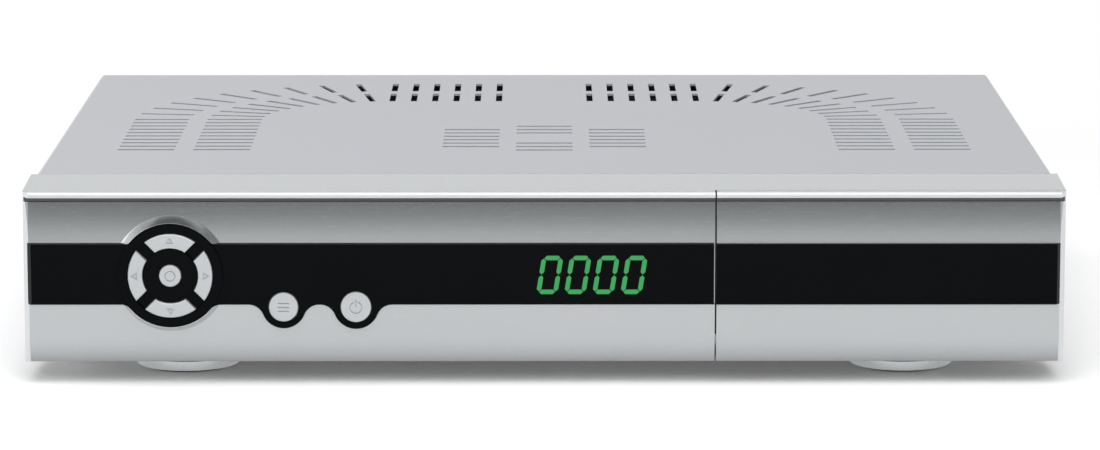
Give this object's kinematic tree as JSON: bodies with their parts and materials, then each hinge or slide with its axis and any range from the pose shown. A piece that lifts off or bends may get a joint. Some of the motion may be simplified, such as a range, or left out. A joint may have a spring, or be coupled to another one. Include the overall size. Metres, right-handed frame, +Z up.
{
  "type": "satellite tv receiver",
  "caption": "Set-top satellite receiver: low silver metal case with slotted cover, black display band, ring of keys and a drop-down front door.",
  "frame": {"origin": "middle of the overall box, on the surface the feet stand on", "axes": "+X to the right seen from the front, +Y to the rear, +Z up"},
  "size_m": [0.34, 0.2852, 0.065],
  "materials": {
    "front_silver": "satin metallic lacquer",
    "cover_silver": "satin metallic paint",
    "band_black": "gloss",
    "key_silver": "satin lacquer",
    "plain_steel": "zinc plated",
    "bright_nickel": "nickel plated",
    "bare_aluminium": "extruded",
    "dark_plastic": "moulded",
    "white_plastic": "moulded",
    "board_laminate": "solder mask",
    "wound_bobbin": "taped winding",
    "foot_rubber": "matt",
    "foot_silver": "satin metallic",
    "digit_green": "lit"
  },
  "bodies": {
    "case": {"front_bezel": "front_silver", "window_lens": "band_black", "door_hinge_pins": "plain_steel", "display_module": "dark_plastic", "display_digits": "digit_green", "front_board": "board_laminate", "front_switches": "dark_plastic", "remote_eye": "dark_plastic", "card_board": "board_laminate", "module_slot_lower": "dark_plastic", "module_slot_upper": "dark_plastic", "card_reader": "dark_plastic", "front_usb": "bright_nickel", "top_cover": "cover_silver", "base_tray": "plain_steel", "foot_rings": "foot_silver", "foot_pads": "foot_rubber", "rear_panel": "cover_silver", "board_standoffs": "plain_steel", "main_board": "board_laminate", "processor": "dark_plastic", "heatsink": "bare_aluminium", "memory_chips": "dark_plastic", "board_capacitors": "dark_plastic", "tuner_a": "plain_steel", "tuner_b": "plain_steel", "aerial_sockets": "bright_nickel", "hdmi_socket": "bright_nickel", "serial_socket": "plain_steel", "network_socket": "dark_plastic", "rear_usb": "bright_nickel", "optical_socket": "dark_plastic", "audio_housing": "dark_plastic", "audio_rings": "bright_nickel", "scart_sockets": "dark_plastic", "power_board": "board_laminate", "transformer": "wound_bobbin", "power_capacitors": "dark_plastic", "power_heatsink": "bare_aluminium", "fuse_holder": "bright_nickel", "mains_inlet": "dark_plastic", "switch_frame": "dark_plastic", "front_lead": "white_plastic", "lead_headers": "white_plastic"},
    "right_key": {"right_key": "key_silver"},
    "up_key": {"up_key": "key_silver"},
    "left_key": {"left_key": "key_silver"},
    "down_key": {"down_key": "key_silver"},
    "ok_key": {"ok_key": "key_silver"},
    "menu_key": {"menu_key": "key_silver"},
    "power_key": {"power_key": "key_silver"},
    "front_door": {"door": "front_silver", "door_band": "band_black"},
    "rocker": {"mains_rocker": "dark_plastic"},
    "eject_lower": {"eject_button_lower": "dark_plastic"},
    "eject_upper": {"eject_button_upper": "dark_plastic"}
  },
  "joints": [
    {"name": "right_key_press", "type": "slide", "parent": "case", "child": "right_key", "axis": [0, 1, 0], "range_m": [0, 0.0008], "stiffness_N_per_m": 1200},
    {"name": "up_key_press", "type": "slide", "parent": "case", "child": "up_key", "axis": [0, 1, 0], "range_m": [0, 0.0008], "stiffness_N_per_m": 1200},
    {"name": "left_key_press", "type": "slide", "parent": "case", "child": "left_key", "axis": [0, 1, 0], "range_m": [0, 0.0008], "stiffness_N_per_m": 1200},
    {"name": "down_key_press", "type": "slide", "parent": "case", "child": "down_key", "axis": [0, 1, 0], "range_m": [0, 0.0008], "stiffness_N_per_m": 1200},
    {"name": "ok_key_press", "type": "slide", "parent": "case", "child": "ok_key", "axis": [0, 1, 0], "range_m": [0, 0.0008], "stiffness_N_per_m": 1200},
    {"name": "menu_key_press", "type": "slide", "parent": "case", "child": "menu_key", "axis": [0, 1, 0], "range_m": [0, 0.0008], "stiffness_N_per_m": 1200},
    {"name": "power_key_press", "type": "slide", "parent": "case", "child": "power_key", "axis": [0, 1, 0], "range_m": [0, 0.0008], "stiffness_N_per_m": 1200},
    {"name": "door_hinge", "type": "hinge", "parent": "case", "child": "front_door", "pos_m": [0.11307, -0.1318, 0.0107], "axis": [1, 0, 0], "range_deg": [0, 90]},
    {"name": "rocker_hinge", "type": "hinge", "parent": "case", "child": "rocker", "pos_m": [-0.118, 0.129, 0.0285], "axis": [1, 0, 0], "range_deg": [0, 16]},
    {"name": "eject_lower_push", "type": "slide", "parent": "case", "child": "eject_lower", "axis": [0, 1, 0], "range_m": [0, 0.006], "stiffness_N_per_m": 200},
    {"name": "eject_upper_push", "type": "slide", "parent": "case", "child": "eject_upper", "axis": [0, 1, 0], "range_m": [0, 0.006], "stiffness_N_per_m": 200}
  ]
}
